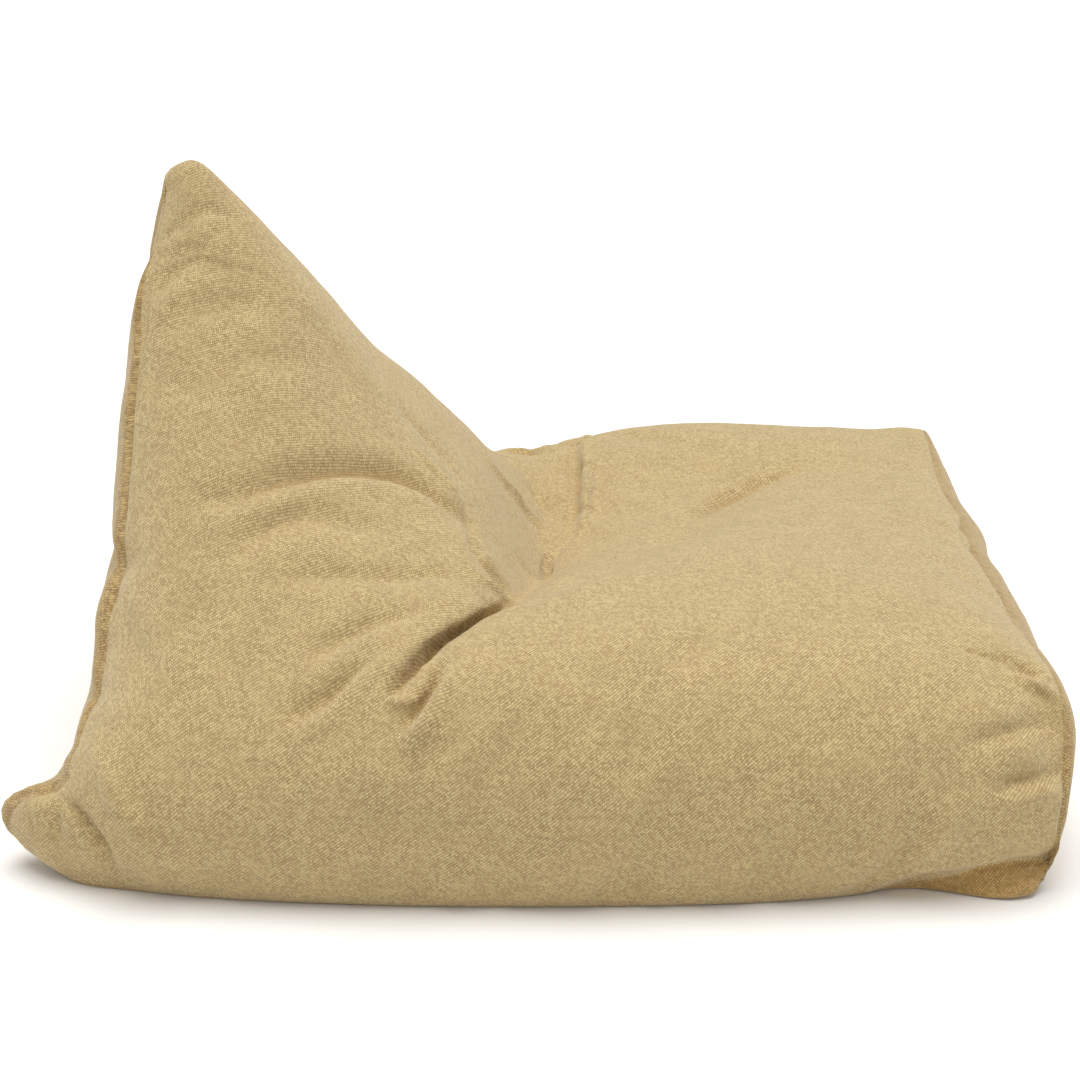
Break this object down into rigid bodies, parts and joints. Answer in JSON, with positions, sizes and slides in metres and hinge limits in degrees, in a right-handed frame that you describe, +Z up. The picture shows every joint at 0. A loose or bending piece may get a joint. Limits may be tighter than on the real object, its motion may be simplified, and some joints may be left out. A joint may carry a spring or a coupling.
{
  "type": "bean-bag lounger pouf",
  "caption": "Bean-bag lounger pouf with a low dished seat, a pointed back and a deep crease between them, in coarse straw cloth.",
  "frame": {"origin": "on the floor, under the middle of the pouf's bounding box", "axes": "+X from the back towards the foot end, +Y from the sitter's right side to the left side, +Z up"},
  "size_m": [1.1508, 1.0604, 0.6749],
  "materials": {
    "cloth": "coarse matt barleycorn weave in straw and tan yarn"
  },
  "bodies": {
    "root": {"pouf_body": "cloth"}
  },
  "joints": []
}
